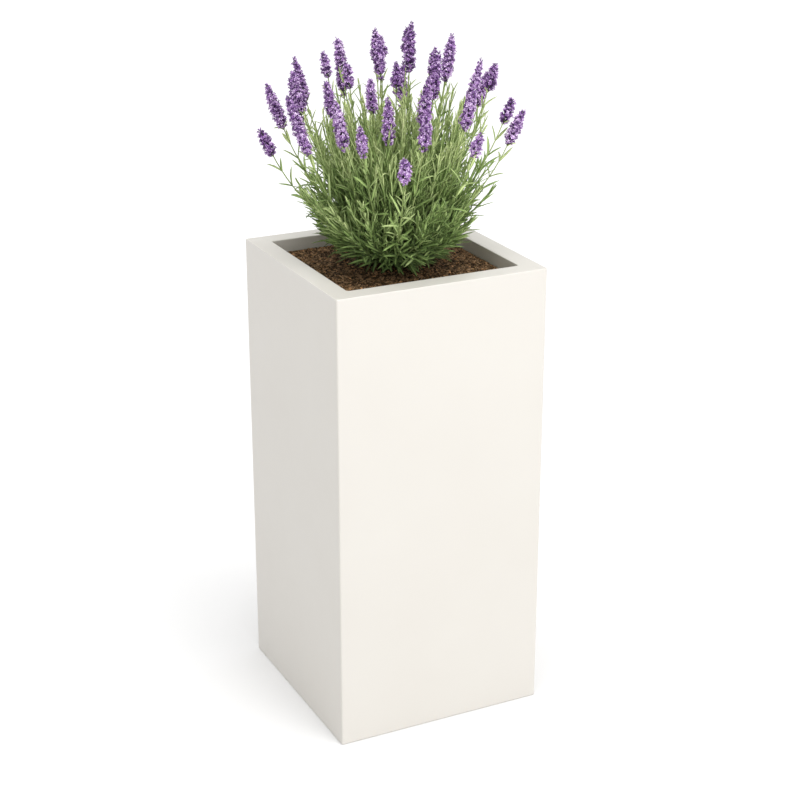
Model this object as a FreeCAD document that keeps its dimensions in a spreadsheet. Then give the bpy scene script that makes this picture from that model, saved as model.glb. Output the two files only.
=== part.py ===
"""A tall square fibreglass planter with a lift-out liner, planted with lavender.

Millimetres. The origin is the middle of the planter's footprint on the floor, +Z is up and -Y is the front.
The shell is one moulding: four walls, a flat rim turned inwards and a lip turned down from the rim. A base
tray is bonded between the walls just above the floor. Four corner ledges carry a perforated shelf, the liner
stands on the shelf, and the liner holds the drainage layer, the fleece, the soil and the plant.
"""

import FreeCAD, Part
import math
import os

import Sketcher
from FreeCAD import Placement, Rotation, Vector

doc = FreeCAD.newDocument("TallPlanter")


# ---------------------------------------------------------------- driving dimensions

SIZES = {
    # shell moulding
    "outer_width": (380, "width and depth over the walls"),
    "planter_height": (800, "floor to the top of the rim"),
    "wall_thickness": (4, "laminate of the walls"),
    "rim_width": (35, "flat rim, from the outer face to the mouth"),
    "rim_thickness": (5, "laminate of the rim"),
    "lip_depth": (46, "rim top to the lip's lower edge"),
    "lip_thickness": (4, "laminate of the lip"),
    "corner_radius": (3, "outer upright corners"),
    "cavity_corner_radius": (8, "upright corners inside the walls"),
    "mouth_corner_radius": (4, "upright corners of the mouth"),
    "edge_radius": (1.6, "rounding of the rim's edges"),
    "skirt_chamfer": (1, "bevel round the foot of the walls"),
    # base tray
    "base_height": (18, "floor to the underside of the base"),
    "base_thickness": (5, "laminate of the base"),
    "base_flange": (32, "base underside to the top of its bonded upstand"),
    "tray_corner_radius": (5, "upright corners inside the tray"),
    "well_radius": (40, "drain well, inside"),
    "well_depth": (6, "drop of the well below the base"),
    "drain_radius": (11, "drain hole"),
    # drain plug
    "plug_clearance": (0.06, "radial play of the plug's stem"),
    "plug_head_radius": (19, "sealing head"),
    "plug_head_height": (5, "sealing head"),
    "plug_nose_taper": (2, "how much the stem narrows to its nose"),
    "plug_nose_length": (5, "nose below the hole"),
    "plug_grip_radius": (7, "foot of the knob that fingers pull"),
    "plug_grip_flare": (2, "how much the knob widens to its top"),
    "plug_grip_height": (14, "knob above the head"),
    # ledges and shelf
    "ledge_leg": (140, "ledge along each wall"),
    "ledge_thickness": (5, "ledge plate"),
    "ledge_drop": (34, "ledge top to the foot of its bonded flange"),
    "ledge_flange": (4, "bonded flange"),
    "shelf_clearance": (6, "shelf's edge inside the mouth"),
    "shelf_thickness": (8, "shelf board"),
    "shelf_corner_radius": (12, "shelf's corners"),
    "hole_radius": (6, "drainage holes in the shelf and the liner"),
    "hole_pitch": (90, "drainage holes, centre to centre"),
    "holes_per_row": (3, "drainage holes each way in the shelf"),
    # liner and its filling
    "liner_height": (286, "liner, foot to bead"),
    "liner_clearance": (6, "liner's bead to the lip"),
    "bead_overhang": (3, "how far the bead stands out"),
    "bead_height": (10, "bead round the liner's top"),
    "liner_taper": (8, "draw of each side from bead to foot"),
    "liner_wall": (2.5, "liner's sides"),
    "liner_floor": (3, "liner's floor"),
    "liner_corner_radius": (14, "liner's upright corners"),
    "liner_foot_bevel": (3, "bevel round the liner's foot"),
    "pebble_depth": (35, "drainage layer"),
    "fleece_thickness": (2, "filter fleece"),
    "soil_drop": (24, "rim top to the soil"),
    "soil_cap": (4, "soil standing over the liner's bead"),
    "soil_margin": (1, "soil's edge inside the bead's edge"),
    # plant below the flowers
    "root_ball_radius": (75, "root ball at the soil's surface"),
    "root_ball_taper": (17, "how much the root ball narrows to its foot"),
    "root_ball_depth": (150, "root ball"),
    "collar_radius": (24, "woody collar on the soil"),
    "collar_height": (14, "woody collar"),
    "branch_count": (7, "woody branches from the collar"),
    "branch_length": (52, "woody branch"),
    "branch_radius": (4.5, "woody branch at the collar"),
    "mound_radius": (146, "leafy mound at its widest"),
    "mound_height": (245, "soil to the top of the mound"),
    "mound_gap": (3, "soil to the underside of the mound"),
    "shoot_count": (60, "leafy shoots that stand out of the mound"),
    "shoot_reach": (58, "how far a shoot stands out"),
    "shoot_radius": (6, "leafy shoot at its thickest"),
    # flowers
    "stalk_count": (38, "flower stalks"),
    "stalk_radius": (1.7, "stalk at the crown"),
    "stalk_tip_radius": (1.2, "stalk under its flower spike"),
    "fan_radius": (252, "reach of the outermost spike tips"),
    "fan_height": (407, "soil to the tallest spike tip"),
    "fan_rim_height": (237, "soil to the outermost spike tips"),
    "spike_length": (82, "longest flower spike"),
    "spike_radius": (11.5, "flower spike over its widest whorl"),
}

sheet = doc.addObject("Spreadsheet::Sheet", "Sizes")
for row, (alias, (value, meaning)) in enumerate(SIZES.items(), 1):
    sheet.set(f"A{row}", alias)
    sheet.set(f"B{row}", str(value))
    sheet.setAlias(f"B{row}", alias)
    sheet.set(f"C{row}", meaning)
doc.recompute()

# Levels and widths that several pieces share, written with the sheet's names.
CAVITY_WIDTH = "(Sizes.outer_width - 2 * Sizes.wall_thickness)"
MOUTH_WIDTH = "(Sizes.outer_width - 2 * Sizes.rim_width)"
LIP_LEVEL = "(Sizes.planter_height - Sizes.lip_depth)"
SOIL_LEVEL = "(Sizes.planter_height - Sizes.soil_drop)"
BEAD_LEVEL = f"({SOIL_LEVEL} - Sizes.soil_cap)"
SHELF_LEVEL = f"({BEAD_LEVEL} - Sizes.liner_height)"
LEDGE_LEVEL = f"({SHELF_LEVEL} - Sizes.shelf_thickness)"
WELL_LEVEL = "(Sizes.base_height + Sizes.base_thickness - Sizes.well_depth)"
DRAIN_LEVEL = f"({WELL_LEVEL} - Sizes.base_thickness)"
PEBBLE_LEVEL = f"({SHELF_LEVEL} + Sizes.liner_floor)"
FLEECE_LEVEL = f"({PEBBLE_LEVEL} + Sizes.pebble_depth)"
COMPOST_LEVEL = f"({FLEECE_LEVEL} + Sizes.fleece_thickness)"
BEAD_WIDTH = f"({MOUTH_WIDTH} - 2 * Sizes.liner_clearance)"
LINER_WIDTH = f"({BEAD_WIDTH} - 2 * Sizes.bead_overhang)"

NEAR = 0.01  # two places closer than this are one place
GOLDEN_TURN = math.pi * (3 - math.sqrt(5))  # the turn from one shoot of a plant to the next
BRANCH_LEAN = 34  # degrees that a woody branch leans from upright
STALK_BOW = 0.6  # a stalk's lean under its flower, as a share of the lean from crown to flower
FAN_START = math.radians(116)  # bearing of the first flower, which sets the outermost ones to left and right
FAN_UNEVEN = 0.15  # the most that a flower falls short of the fan's outline, as a share of its place there
MOUND_SIDES = 16  # flats round the leafy mound
# The mound's outline from its underside to its top: share of its height, share of its radius.
MOUND_PROFILE = (
    (0, 0.28),
    (0.08, 0.5),
    (0.17, 0.66),
    (0.38, 0.9),
    (0.55, 0.98),
    (0.75, 1),
    (0.88, 0.88),
    (0.96, 0.6),
    (1, 0.12),
)
# A flower spike's outline from its foot to its tip: share of its length, share of its radius.
WHORLS = ((0, 0.35), (0.12, 0.9), (0.26, 0.68), (0.42, 1), (0.58, 0.72), (0.74, 0.85), (0.88, 0.5), (1, 0.14))


# ---------------------------------------------------------------- helpers


def number(expression):
    """The value of an expression on the sheet."""
    return float(sheet.evalExpression(expression))


def size(alias):
    """One driving dimension."""
    return number(f"Sizes.{alias}")


def new_body(label):
    body = doc.addObject("PartDesign::Body", label)
    body.Label = label
    return body


def plane_sketch(body, name, role):
    """An empty sketch on one of the body's own planes."""
    sketch = body.newObject("Sketcher::SketchObject", name)
    plane = next(f for f in body.Origin.OriginFeatures if f.Role == role)
    sketch.AttachmentSupport = [(plane, "")]
    sketch.MapMode = "FlatFace"
    return sketch


def level_sketch(body, name, level="0"):
    """An empty sketch that lies level at a height."""
    sketch = plane_sketch(body, name, "XY_Plane")
    sketch.setExpression("AttachmentOffset.Base.z", level)
    return sketch


def bind(sketch, name, constraint, expression):
    """Adds a named dimension to a sketch and ties it to an expression."""
    made = sketch.addConstraint(constraint)
    sketch.renameConstraint(made, name)
    sketch.setExpression(f"Constraints.{name}", expression)


def draw_square(sketch, width, radius):
    """A square about the sketch's origin with rounded corners: sides 0 to 3, then corners 4 to 7."""
    half, bend = number(width) / 2, number(radius)
    flat = half - bend
    quarter = math.pi / 2
    for turn in range(4):
        spin = Rotation(Vector(0, 0, 1), 90 * turn)
        side = Part.LineSegment(spin * Vector(-flat, -half, 0), spin * Vector(flat, -half, 0))
        sketch.addGeometry(side, False)
    for turn in range(4):
        centre = Rotation(Vector(0, 0, 1), 90 * turn) * Vector(flat, -flat, 0)
        circle = Part.Circle(centre, Vector(0, 0, 1), bend)
        sketch.addGeometry(Part.ArcOfCircle(circle, quarter * (turn - 1), quarter * turn), False)
    for turn in range(4):
        sketch.addConstraint(Sketcher.Constraint("Tangent", turn, 2, 4 + turn, 1))
        sketch.addConstraint(Sketcher.Constraint("Tangent", 4 + turn, 2, (turn + 1) % 4, 1))
    for corner in (5, 6, 7):
        sketch.addConstraint(Sketcher.Constraint("Equal", 4, corner))
    sketch.addConstraint(Sketcher.Constraint("Horizontal", 0))
    sketch.addConstraint(Sketcher.Constraint("Equal", 0, 1))
    sketch.addConstraint(Sketcher.Constraint("Symmetric", 0, 1, 2, 1, -1, 1))
    bind(sketch, "width", Sketcher.Constraint("DistanceY", 0, 1, 2, 1, 2 * half), width)
    bind(sketch, "radius", Sketcher.Constraint("Radius", 4, bend), radius)


def draw_triangle(sketch, reach, leg):
    """A triangle whose square corner lies at (reach, reach), with its legs back along both axes."""
    far, arm = number(reach), number(leg)
    corners = [Vector(far, far, 0), Vector(far - arm, far, 0), Vector(far, far - arm, 0)]
    for here, there in zip(corners, corners[1:] + corners[:1]):
        sketch.addGeometry(Part.LineSegment(here, there), False)
    for side in range(3):
        sketch.addConstraint(Sketcher.Constraint("Coincident", side, 2, (side + 1) % 3, 1))
    sketch.addConstraint(Sketcher.Constraint("Horizontal", 0))
    sketch.addConstraint(Sketcher.Constraint("Vertical", 2))
    bind(sketch, "reach_x", Sketcher.Constraint("DistanceX", -1, 1, 0, 1, far), reach)
    bind(sketch, "reach_y", Sketcher.Constraint("DistanceY", -1, 1, 0, 1, far), reach)
    bind(sketch, "leg_x", Sketcher.Constraint("DistanceX", 0, 2, 0, 1, arm), leg)
    bind(sketch, "leg_y", Sketcher.Constraint("DistanceY", 2, 1, 2, 2, arm), leg)


def draw_circle(sketch, radius):
    """A circle about the sketch's origin."""
    made = sketch.addGeometry(Part.Circle(Vector(), Vector(0, 0, 1), number(radius)), False)
    sketch.addConstraint(Sketcher.Constraint("Coincident", made, 3, -1, 1))
    bind(sketch, "radius", Sketcher.Constraint("Radius", made, number(radius)), radius)


def pad(body, name, sketch, length):
    """Material from a sketch upwards."""
    feature = body.newObject("PartDesign::Pad", name)
    feature.Profile = sketch
    feature.setExpression("Length", length)
    doc.recompute()
    return feature


def pocket(body, name, sketch, length):
    """Material cut away from a sketch upwards. It must leave less than there was."""
    before = body.Shape.Volume
    feature = body.newObject("PartDesign::Pocket", name)
    feature.Profile = sketch
    feature.Reversed = True
    feature.setExpression("Length", length)
    doc.recompute()
    if body.Shape.Volume > before - NEAR:
        raise ValueError(f"{name} cuts nothing")
    return feature


def loft(body, kind, name, lowest, *rest):
    """Material added (Additive) or cut away (Subtractive) through level sketches, straight between them."""
    feature = body.newObject(f"PartDesign::{kind}Loft", name)
    feature.Profile = lowest
    feature.Sections = list(rest)
    feature.Ruled = True
    doc.recompute()
    return feature


def soften(body, name, base, edges, length, kind="Fillet"):
    """A fillet or a chamfer on some edges of the feature before it."""
    if not edges:
        raise ValueError(f"{name} has no edges")
    feature = body.newObject(f"PartDesign::{kind}", name)
    feature.Base = (base, edges)
    feature.setExpression("Radius" if kind == "Fillet" else "Size", length)
    doc.recompute()
    return feature


def edges_where(feature, test):
    """Names of a feature's edges whose two ends pass a test together."""
    names = []
    for count, edge in enumerate(feature.Shape.Edges, 1):
        ends = [vertex.Point for vertex in edge.Vertexes]
        if len(ends) == 2 and test(*ends):
            names.append(f"Edge{count}")
    return names


def level_edges(feature, level, width):
    """Edges of the loop that runs level round a centred square, rounded corners and all."""
    height, half = number(level), number(width) / 2

    def on_loop(point):
        return abs(point.z - height) < NEAR and abs(max(abs(point.x), abs(point.y)) - half) < NEAR

    return edges_where(feature, lambda a, b: on_loop(a) and on_loop(b))


def round_solid(kind, name, level, **sizes):
    """A cylinder, cone or ellipsoid on the upright axis, with its sizes tied to expressions."""
    solid = doc.addObject(f"Part::{kind}", name)
    for key, expression in sizes.items():
        solid.setExpression(key, expression)
    solid.setExpression("Placement.Base.z", level)
    return solid


def fuse(label, pieces):
    joined = doc.addObject("Part::MultiFuse", label)
    joined.Label = label
    joined.Shapes = pieces
    joined.Refine = True
    return joined


# ---------------------------------------------------------------- planter


def make_shell():
    """Walls, rim and lip in one seamless moulding. Its foot is an open ring that stands on the floor."""
    body = new_body("shell")
    outline = level_sketch(body, "ShellOutline")
    draw_square(outline, "Sizes.outer_width", "Sizes.corner_radius")
    block = pad(body, "ShellBlock", outline, "Sizes.planter_height")
    edges = level_edges(block, "Sizes.planter_height", "Sizes.outer_width")
    block = soften(body, "RimOuterEdge", block, edges, "Sizes.edge_radius")
    edges = level_edges(block, "0", "Sizes.outer_width")
    soften(body, "SkirtBevel", block, edges, "Sizes.skirt_chamfer", "Chamfer")

    inside = level_sketch(body, "CavityOutline")
    draw_square(inside, CAVITY_WIDTH, "Sizes.cavity_corner_radius")
    pocket(body, "Cavity", inside, "Sizes.planter_height - Sizes.rim_thickness")

    turned_down = level_sketch(body, "LipOutline", LIP_LEVEL)
    lip_width = f"{MOUTH_WIDTH} + 2 * Sizes.lip_thickness"
    draw_square(turned_down, lip_width, "Sizes.mouth_corner_radius + Sizes.lip_thickness")
    pad(body, "Lip", turned_down, "Sizes.lip_depth - Sizes.rim_thickness")

    opening = level_sketch(body, "MouthOutline", LIP_LEVEL)
    draw_square(opening, MOUTH_WIDTH, "Sizes.mouth_corner_radius")
    mouth = pocket(body, "Mouth", opening, "Sizes.lip_depth")
    edges = level_edges(mouth, "Sizes.planter_height", MOUTH_WIDTH)
    soften(body, "RimInnerEdge", mouth, edges, "Sizes.edge_radius")
    return body


def make_base_panel():
    """The tray between the walls. Its upstand is bonded to them, and a shallow well leads to the drain hole."""
    body = new_body("base_panel")
    outline = level_sketch(body, "BaseOutline", "Sizes.base_height")
    draw_square(outline, CAVITY_WIDTH, "Sizes.cavity_corner_radius")
    pad(body, "BaseBlock", outline, "Sizes.base_flange")
    inside = level_sketch(body, "TrayOutline", "Sizes.base_height + Sizes.base_thickness")
    draw_square(inside, f"{CAVITY_WIDTH} - 2 * Sizes.base_thickness", "Sizes.tray_corner_radius")
    pocket(body, "Tray", inside, "Sizes.base_flange - Sizes.base_thickness")

    boss = level_sketch(body, "WellOutside", DRAIN_LEVEL)
    draw_circle(boss, "Sizes.well_radius + Sizes.base_thickness")
    pad(body, "WellBoss", boss, "Sizes.well_depth")
    well = level_sketch(body, "WellInside", WELL_LEVEL)
    draw_circle(well, "Sizes.well_radius")
    pocket(body, "Well", well, "Sizes.well_depth")
    drain = level_sketch(body, "DrainOutline", DRAIN_LEVEL)
    draw_circle(drain, "Sizes.drain_radius")
    pocket(body, "DrainHole", drain, "Sizes.base_thickness")
    return body


def make_drain_plug():
    """A rubber bung pushed into the drain hole from inside, for use where no water may run out."""
    stem = "(Sizes.drain_radius - Sizes.plug_clearance)"
    nose = round_solid("Cone", "PlugNose", f"{DRAIN_LEVEL} - Sizes.plug_nose_length")
    nose.setExpression("Radius1", f"{stem} - Sizes.plug_nose_taper")
    nose.setExpression("Radius2", stem)
    nose.setExpression("Height", "Sizes.plug_nose_length")
    shank = round_solid("Cylinder", "PlugStem", DRAIN_LEVEL, Radius=stem, Height="Sizes.base_thickness")
    head = round_solid("Cylinder", "PlugHead", WELL_LEVEL)
    head.setExpression("Radius", "Sizes.plug_head_radius")
    head.setExpression("Height", "Sizes.plug_head_height")
    knob = round_solid("Cone", "PlugKnob", f"{WELL_LEVEL} + Sizes.plug_head_height")
    knob.setExpression("Radius1", "Sizes.plug_grip_radius")
    knob.setExpression("Radius2", "Sizes.plug_grip_radius + Sizes.plug_grip_flare")
    knob.setExpression("Height", "Sizes.plug_grip_height")
    return fuse("drain_plug", [nose, shank, head, knob])


def make_ledge(label, quarter_turns):
    """A corner bracket: a level plate with a flange down each wall. It is drawn at +X +Y and turned."""
    body = new_body(label)
    plate = level_sketch(body, f"{label}_plate", f"{LEDGE_LEVEL} - Sizes.ledge_drop")
    draw_triangle(plate, f"{CAVITY_WIDTH} / 2", "Sizes.ledge_leg")
    block = pad(body, f"{label}_block", plate, "Sizes.ledge_drop")
    far = number(f"{CAVITY_WIDTH} / 2")
    edges = edges_where(block, lambda a, b: abs(a.z - b.z) > NEAR and min(a.x, a.y, b.x, b.y) > far - NEAR)
    soften(body, f"{label}_corner", block, edges, "Sizes.cavity_corner_radius")
    under = level_sketch(body, f"{label}_underside", f"{LEDGE_LEVEL} - Sizes.ledge_drop")
    draw_triangle(under, f"{CAVITY_WIDTH} / 2 - Sizes.ledge_flange", "Sizes.ledge_leg")
    pocket(body, f"{label}_hollow", under, "Sizes.ledge_drop - Sizes.ledge_thickness")
    body.Placement = Placement(Vector(), Rotation(Vector(0, 0, 1), 90 * quarter_turns))
    return body


def perforate(body, name, level, depth, per_row):
    """A square field of drainage holes through a level plate. Every plate's field is as wide."""
    sketch = level_sketch(body, f"{name}_outline", level)
    draw_circle(sketch, "Sizes.hole_radius")
    field = "Sizes.hole_pitch * (Sizes.holes_per_row - 1)"
    for axis in "xy":
        sketch.setExpression(f"AttachmentOffset.Base.{axis}", f"-{field} / 2")
    hole = pocket(body, name, sketch, depth)
    pattern = body.newObject("PartDesign::LinearPattern", f"{name}_pattern")
    pattern.Originals = [hole]
    for suffix, direction in (("", "H_Axis"), ("2", "V_Axis")):
        setattr(pattern, f"Direction{suffix}", (sketch, [direction]))
        pattern.setExpression(f"Length{suffix}", field)
        pattern.setExpression(f"Occurrences{suffix}", per_row)
    body.Tip = pattern
    doc.recompute()
    return pattern


def make_shelf():
    """The perforated board that lies on the ledges and passes through the mouth."""
    body = new_body("shelf")
    outline = level_sketch(body, "ShelfOutline", LEDGE_LEVEL)
    draw_square(outline, f"{MOUTH_WIDTH} - 2 * Sizes.shelf_clearance", "Sizes.shelf_corner_radius")
    pad(body, "ShelfBoard", outline, "Sizes.shelf_thickness")
    perforate(body, "ShelfHole", LEDGE_LEVEL, "Sizes.shelf_thickness", "Sizes.holes_per_row")
    return body


# ---------------------------------------------------------------- liner and filling


def liner_width(level, wall="0"):
    """Width over the liner's drawn-in sides at a level, or inside a wall."""
    drop = f"({BEAD_LEVEL} - ({level}))"
    return f"({LINER_WIDTH} - 2 * {wall} - 2 * Sizes.liner_taper * {drop} / Sizes.liner_height)"


def draw_liner_section(body, name, level, wall="0", bevel="0"):
    """The liner's rounded square at a level, inside a wall or a bevel where there is one."""
    sketch = level_sketch(body, name, level)
    radius = f"Sizes.liner_corner_radius - {wall} - {bevel}"
    draw_square(sketch, f"{liner_width(level, wall)} - 2 * {bevel}", radius)
    return sketch


def make_liner():
    """A drafted tub with a bead round its top and drainage holes in its floor."""
    body = new_body("liner")
    bevel = "Sizes.liner_foot_bevel"
    foot = draw_liner_section(body, "LinerFoot", SHELF_LEVEL, bevel=bevel)
    shin = draw_liner_section(body, "LinerShin", f"{SHELF_LEVEL} + {bevel}")
    top = draw_liner_section(body, "LinerTop", BEAD_LEVEL)
    loft(body, "Additive", "LinerOutside", foot, shin, top)
    bead = level_sketch(body, "BeadOutline", f"{BEAD_LEVEL} - Sizes.bead_height")
    draw_square(bead, BEAD_WIDTH, "Sizes.liner_corner_radius + Sizes.bead_overhang")
    pad(body, "Bead", bead, "Sizes.bead_height")
    floor = draw_liner_section(body, "LinerFloor", PEBBLE_LEVEL, "Sizes.liner_wall")
    brim = draw_liner_section(body, "LinerBrim", BEAD_LEVEL, "Sizes.liner_wall")
    loft(body, "Subtractive", "LinerInside", floor, brim)
    perforate(body, "LinerHole", SHELF_LEVEL, "Sizes.liner_floor", "2")
    return body


def make_layer(label, low, high):
    """A layer that fills the liner from side to side between two levels."""
    body = new_body(label)
    under = draw_liner_section(body, f"{label}_under", low, "Sizes.liner_wall")
    over = draw_liner_section(body, f"{label}_over", high, "Sizes.liner_wall")
    loft(body, "Additive", f"{label}_layer", under, over)
    return body


def make_potting_soil():
    """Soil from the fleece to just over the liner's bead, hollowed out for the root ball."""
    body = make_layer("potting_soil", COMPOST_LEVEL, BEAD_LEVEL)
    outline = level_sketch(body, "SoilCapOutline", BEAD_LEVEL)
    draw_square(outline, f"{BEAD_WIDTH} - 2 * Sizes.soil_margin", "Sizes.liner_corner_radius")
    pad(body, "SoilCap", outline, "Sizes.soil_cap")
    before = body.Shape.Volume
    hollow = body.newObject("PartDesign::SubtractiveCone", "RootHollow")
    hollow.setExpression("Placement.Base.z", f"{SOIL_LEVEL} - Sizes.root_ball_depth")
    hollow.setExpression("Radius1", "Sizes.root_ball_radius - Sizes.root_ball_taper")
    hollow.setExpression("Radius2", "Sizes.root_ball_radius")
    hollow.setExpression("Height", "Sizes.root_ball_depth")
    doc.recompute()
    if body.Shape.Volume > before - NEAR:
        raise ValueError("the soil has no room for the root ball")
    return body


# ---------------------------------------------------------------- plant


def make_root_ball():
    ball = round_solid("Cone", "root_ball", f"{SOIL_LEVEL} - Sizes.root_ball_depth")
    ball.Label = "root_ball"
    ball.setExpression("Radius1", "Sizes.root_ball_radius - Sizes.root_ball_taper")
    ball.setExpression("Radius2", "Sizes.root_ball_radius")
    ball.setExpression("Height", "Sizes.root_ball_depth")
    return ball


def stem(name, sides, radius, length):
    """A straight woody stem with flat sides."""
    solid = doc.addObject("Part::Prism", name)
    solid.Polygon = sides
    solid.setExpression("Circumradius", radius)
    solid.setExpression("Height", length)
    return solid


def make_woody_crown():
    """The collar on the soil and the old wood that forks from it."""
    collar = stem("Collar", 8, "Sizes.collar_radius", "Sizes.collar_height")
    collar.setExpression("Placement.Base.z", SOIL_LEVEL)
    pieces = [collar]
    count = round(size("branch_count"))
    for index in range(count):
        branch = stem(f"Branch{index + 1}", 6, "Sizes.branch_radius", "Sizes.branch_length")
        lean = Rotation(Vector(0, 0, 1), 360 * index / count) * Rotation(Vector(0, 1, 0), BRANCH_LEAN)
        branch.Placement = Placement(Vector(), lean)
        branch.setExpression("Placement.Base.z", f"{SOIL_LEVEL} + Sizes.collar_height / 2")
        pieces.append(branch)
    return fuse("woody_crown", pieces)


def make_foliage(crown):
    """The leafy mound, flat-sided through level polygons, hollowed where the old wood runs through it."""
    upright, outwards = Vector(0, 0, 1), Vector(1, 0, 0)
    rings = []
    for rise, swell in MOUND_PROFILE:
        centre = upright * mound_level(rise)
        rings.append(ring(centre, upright, outwards, size("mound_radius") * swell, MOUND_SIDES))
    mound = group("Mound", [flat_sided(rings)])
    foliage = doc.addObject("Part::Cut", "foliage")
    foliage.Label = "foliage"
    foliage.Base = mound
    foliage.Tool = crown
    doc.recompute()
    return foliage


def mound_level(rise):
    """Height of the mound's outline at a share of its own height."""
    return number(SOIL_LEVEL) + size("mound_gap") + (size("mound_height") - size("mound_gap")) * rise


def mound_swell(rise):
    """The mound's radius share at a share of its height."""
    for (low, narrow), (high, wide) in zip(MOUND_PROFILE, MOUND_PROFILE[1:]):
        if rise <= high:
            return narrow + (wide - narrow) * (rise - low) / (high - low)
    return MOUND_PROFILE[-1][1]


def ring(centre, along, side, radius, corners):
    """The corners of a regular polygon square to a direction, the first of them towards side."""
    across = along.cross(side)
    turns = [2 * math.pi * corner / corners for corner in range(corners)]
    return [centre + (side * math.cos(turn) + across * math.sin(turn)) * radius for turn in turns]


def polygon(corners):
    return Part.makePolygon(corners + corners[:1])


def flat_sided(rings):
    """A solid through parallel rings that match corner by corner, with a true plane for each side."""
    faces = [Part.Face(polygon(rings[0])), Part.Face(polygon(rings[-1]))]
    for low, high in zip(rings, rings[1:]):
        for here in range(len(low)):
            there = (here + 1) % len(low)
            faces.append(Part.Face(polygon([low[here], low[there], high[there], high[here]])))
    shell = Part.Shell(faces)
    shell.sewShape()
    return Part.Solid(shell)


def outward(bearing):
    """The level direction at a bearing."""
    return Vector(math.cos(bearing), math.sin(bearing), 0)


def sway(index, pace):
    """An even spread of values from 0 to 1, so that neighbours on the plant differ."""
    return 0.5 + 0.5 * math.sin(pace * index)


class Shoot:
    """A leafy shoot: a four-sided spindle that starts under the mound's skin and points out and up."""

    def __init__(self, index):
        rise = 0.1 + 0.86 * (index + 0.5) / round(size("shoot_count"))
        out = outward((index + 0.5) * GOLDEN_TURN)
        self.skin = out * (size("mound_radius") * mound_swell(rise)) + Vector(0, 0, mound_level(rise))
        lean = math.radians(80 - 62 * rise)
        self.along = out * math.sin(lean) + Vector(0, 0, 1) * math.cos(lean)
        self.side = self.along.cross(out).normalize()
        self.reach = size("shoot_reach") * (0.7 + 0.3 * sway(index, 2.1))

    def place(self, share):
        return self.skin + self.along * (self.reach * share)

    def clear_of(self, flowers):
        """Whether no stalk or spike runs where the shoot stands."""
        room = size("shoot_radius") + size("stalk_radius") + size("spike_radius")
        steps = [step / 12 for step in range(13)]
        for flower in flowers:
            line = [flower.place(u) for u in steps] + [flower.foot, flower.tip]
            if any(self.place(share).sub(point).Length < room for share in (0, 0.5, 1) for point in line):
                return False
        return True

    def solid(self):
        thick = size("shoot_radius")
        rings = []
        for share, swell in ((-0.5, 0.5), (0.35, 1), (1, 0.2)):
            rings.append(ring(self.place(share), self.along, self.side, thick * swell, 4))
        return flat_sided(rings)


class Flower:
    """Where one flower stands: the fan spreads by the golden turn, tallest in the middle."""

    def __init__(self, index):
        share = (index + 0.5) / round(size("stalk_count"))
        out = outward(FAN_START + index * GOLDEN_TURN)
        reach = size("fan_radius") * math.sqrt(share) * (1 - FAN_UNEVEN * sway(index, 1.42))
        dome = size("fan_height") - size("fan_rim_height")
        outline = size("fan_rim_height") + dome * math.sqrt(1 - share)
        height = outline * (1 - FAN_UNEVEN * sway(index, 2.37))
        lean = STALK_BOW * math.atan2(reach, height)
        upright = Vector(0, 0, 1)
        self.along = out * math.sin(lean) + upright * math.cos(lean)
        self.side = upright.cross(out)
        self.length = size("spike_length") * (1 - 0.5 * sway(index, 2.57))
        self.tip = out * reach + upright * (number(SOIL_LEVEL) + height)
        self.foot = self.tip - self.along * self.length
        self.crown = out * (size("collar_radius") / 2) + upright * number(f"{SOIL_LEVEL} + Sizes.collar_height")
        self.bend = self.foot - self.along * (0.45 * (self.foot - self.crown).Length)

    def place(self, share):
        """A point on the stalk, which bows from the crown to the foot of the spike."""
        rest = 1 - share
        return self.crown * rest**2 + self.bend * (2 * share * rest) + self.foot * share**2

    def stalk(self):
        """A slowly thinning stalk, square in section."""
        steps = 3
        wires = []
        for share in (step / steps for step in range(steps + 1)):
            along = ((self.bend - self.crown) * (1 - share) + (self.foot - self.bend) * share).normalize()
            radius = size("stalk_radius") * (1 - share) + size("stalk_tip_radius") * share
            wires.append(polygon(ring(self.place(share), along, self.side, radius, 4)))
        return Part.makeLoft(wires, True, True)

    def spike(self):
        """The flower head: whorls that swell and shrink to a blunt tip, on the end of the stalk."""
        thick = size("spike_radius")
        rings = []
        for share, swell in WHORLS:
            centre = self.foot + self.along * (self.length * share)
            rings.append(ring(centre, self.along, self.side, thick * swell, 6))
        return flat_sided(rings)


def group(label, solids):
    """Like pieces kept as separate solids of one sub-part."""
    feature = doc.addObject("Part::Feature", label)
    feature.Label = label
    feature.Shape = Part.makeCompound(solids)
    feature.Placement = Placement()
    return feature


def outside_of(mound, solids):
    """What stands out of the mound, with each solid's buried end cut off along the mound's skin."""
    return [solid for whole in solids for solid in whole.cut(mound.Shape).Solids]


def make_plant():
    crown = make_woody_crown()
    foliage = make_foliage(crown)
    flowers = [Flower(index) for index in range(round(size("stalk_count")))]
    shoots = [Shoot(index) for index in range(round(size("shoot_count")))]
    shoots = [shoot for shoot in shoots if shoot.clear_of(flowers)]
    return [
        make_root_ball(),
        crown,
        foliage,
        group("leafy_shoots", outside_of(foliage.Base, [shoot.solid() for shoot in shoots])),
        group("flower_stalks", outside_of(foliage.Base, [flower.stalk() for flower in flowers])),
        group("flower_spikes", [flower.spike() for flower in flowers]),
    ]


# ---------------------------------------------------------------- assembly

LEDGES = [f"shelf_ledge_{corner}" for corner in ("back_right", "back_left", "front_left", "front_right")]

subparts = [
    make_shell(),
    make_base_panel(),
    make_drain_plug(),
    *[make_ledge(label, quarter) for quarter, label in enumerate(LEDGES)],
    make_shelf(),
    make_liner(),
    make_layer("drainage_pebbles", PEBBLE_LEVEL, FLEECE_LEVEL),
    make_layer("filter_fleece", FLEECE_LEVEL, COMPOST_LEVEL),
    make_potting_soil(),
    *make_plant(),
]
doc.recompute()

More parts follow.
